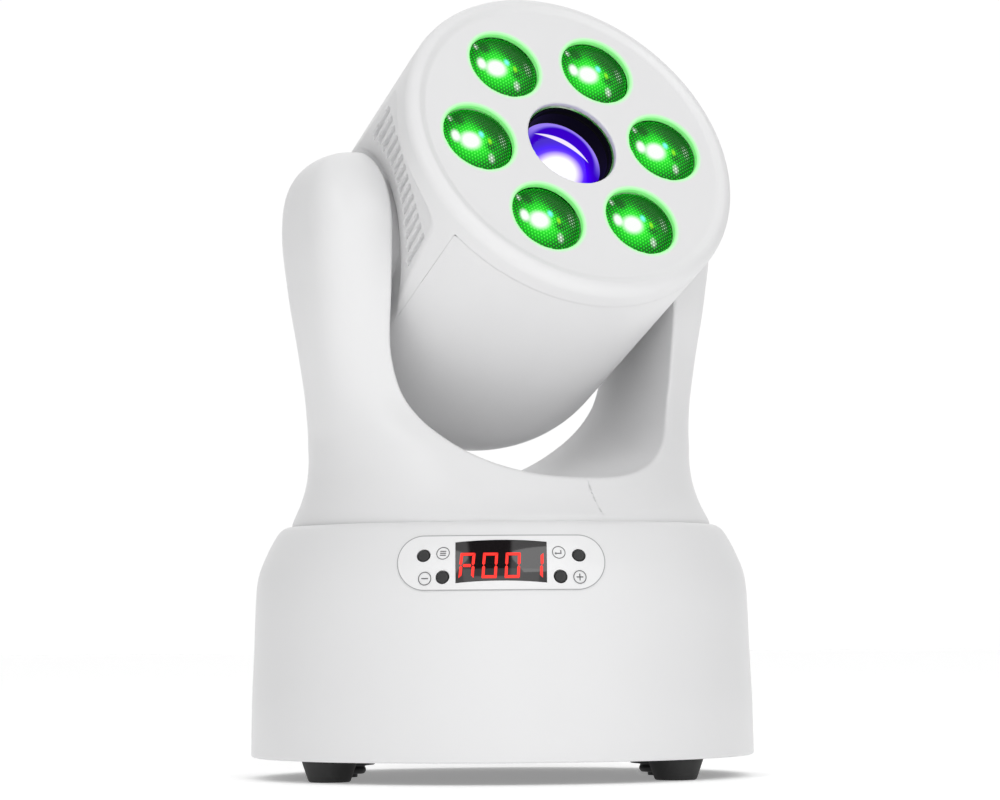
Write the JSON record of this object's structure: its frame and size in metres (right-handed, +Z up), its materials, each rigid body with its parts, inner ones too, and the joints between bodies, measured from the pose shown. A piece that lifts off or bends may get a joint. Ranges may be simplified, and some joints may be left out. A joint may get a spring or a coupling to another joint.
{
  "type": "moving head light",
  "caption": "White stage light: a round base with a display panel, a turning U-shaped yoke and a tilting round head with green wash lenses around a spot lens.",
  "frame": {"origin": "on the ground under the pan axis, at the bottom of the feet", "axes": "+Z up along the pan axis; -Y towards the control panel; +X to the viewer's right when facing the panel"},
  "size_m": [0.1754, 0.1754, 0.2692],
  "materials": {
    "white_plastic": "satin white moulded ABS",
    "black_plastic": "satin black moulded plastic",
    "black_gloss": "gloss black",
    "rubber": "matte black rubber",
    "overlay": "printed polyester film",
    "smoked_window": "smoked acrylic",
    "display": "lit red seven segment display",
    "circuit": "green solder mask",
    "white_circuit": "white solder mask",
    "steel": "bare steel",
    "black_steel": "black powder coat",
    "aluminium": "bare aluminium",
    "belt_rubber": "moulded belt rubber",
    "wash_lens": "clear moulded optic, lit green",
    "spot_glass": "coated glass, lit violet blue",
    "led_chip": "LED chip on a board"
  },
  "bodies": {
    "base": {"base_casing": "white_plastic", "base_plate": "black_steel", "foot_front_left": "rubber", "foot_front_right": "rubber", "foot_rear_left": "rubber", "foot_rear_right": "rubber", "bracket_socket_left": "black_plastic", "bracket_socket_right": "black_plastic", "panel_overlay": "overlay", "display_window": "smoked_window", "display_module": "display", "control_board": "circuit", "power_supply": "circuit", "connector_plate": "black_steel", "power_inlet": "black_plastic", "fuse_drawer": "black_plastic", "dmx_in_socket": "black_plastic", "dmx_out_socket": "black_plastic", "pan_bridge": "steel", "pan_bearing": "steel", "pan_motor": "black_steel", "pan_belt": "belt_rubber"},
    "menu_button": {"button_menu": "black_plastic"},
    "down_button": {"button_down": "black_plastic"},
    "enter_button": {"button_enter": "black_plastic"},
    "up_button": {"button_up": "black_plastic"},
    "pan_pinion": {"pan_motor_pulley": "aluminium"},
    "yoke": {"yoke_shell_left": "white_plastic", "yoke_shell_right": "white_plastic", "pan_shaft": "steel", "pan_pulley": "aluminium", "tilt_motor": "steel", "tilt_belt": "belt_rubber", "tilt_bearing_left": "steel", "tilt_bearing_right": "steel"},
    "tilt_pinion": {"tilt_motor_pulley": "aluminium"},
    "head": {"head_housing": "white_plastic", "head_cover_upper": "white_plastic", "head_cover_lower": "white_plastic", "tilt_shaft_left": "steel", "tilt_shaft_right": "steel", "tilt_pulley": "aluminium", "wash_lens_1": "wash_lens", "wash_lens_2": "wash_lens", "wash_lens_3": "wash_lens", "wash_lens_4": "wash_lens", "wash_lens_5": "wash_lens", "wash_lens_6": "wash_lens", "led_board": "white_circuit", "wash_heat_sink": "aluminium", "spot_tube": "black_gloss", "spot_lens": "spot_glass", "gobo_motor": "steel", "spot_led": "led_chip", "spot_heat_sink": "aluminium", "fan_frame": "black_plastic"},
    "gobo": {"gobo_wheel": "black_steel"},
    "fan": {"fan_rotor": "black_plastic"}
  },
  "joints": [
    {"name": "pan", "type": "hinge", "parent": "base", "child": "yoke", "pos_m": [0, 0, 0.09], "axis": [0, 0, 1], "range_deg": [-298.5, 241.5]},
    {"name": "tilt", "type": "hinge", "parent": "yoke", "child": "head", "pos_m": [0, 0, 0.1876], "axis": [-0.8789, -0.477, 0], "range_deg": [-28.33, 151.67]},
    {"name": "pan_pinion_spin", "type": "hinge", "parent": "base", "child": "pan_pinion", "pos_m": [-0.044, 0, 0.07], "axis": [0, 0, 1], "range_deg": [-1194.5, 966.5]},
    {"name": "tilt_pinion_spin", "type": "hinge", "parent": "yoke", "child": "tilt_pinion", "pos_m": [0.05537, 0.03005, 0.1015], "axis": [-0.8789, -0.477, 0], "range_deg": [-106.5, 569]},
    {"name": "gobo_spin", "type": "hinge", "parent": "head", "child": "gobo", "pos_m": [0.01066, -0.01964, 0.17692], "axis": [0.4199, -0.7736, 0.4745], "continuous": true},
    {"name": "fan_spin", "type": "hinge", "parent": "head", "child": "fan", "pos_m": [-0.02099, 0.03868, 0.16387], "axis": [0.4199, -0.7736, 0.4745], "continuous": true},
    {"name": "menu_press", "type": "slide", "parent": "base", "child": "menu_button", "axis": [0, 0.9415, -0.3371], "range_m": [0, 0.0007], "stiffness_N_per_m": 300, "springref_m": -0.0005},
    {"name": "down_press", "type": "slide", "parent": "base", "child": "down_button", "axis": [0, 0.9415, -0.3371], "range_m": [0, 0.0007], "stiffness_N_per_m": 300, "springref_m": -0.0005},
    {"name": "enter_press", "type": "slide", "parent": "base", "child": "enter_button", "axis": [0, 0.9415, -0.3371], "range_m": [0, 0.0007], "stiffness_N_per_m": 300, "springref_m": -0.0005},
    {"name": "up_press", "type": "slide", "parent": "base", "child": "up_button", "axis": [0, 0.9415, -0.3371], "range_m": [0, 0.0007], "stiffness_N_per_m": 300, "springref_m": -0.0005}
  ],
  "couplings": [
    {"joint": "pan_pinion_spin", "follows": "pan", "ratio": 4},
    {"joint": "tilt_pinion_spin", "follows": "tilt", "ratio": 3.75}
  ]
}
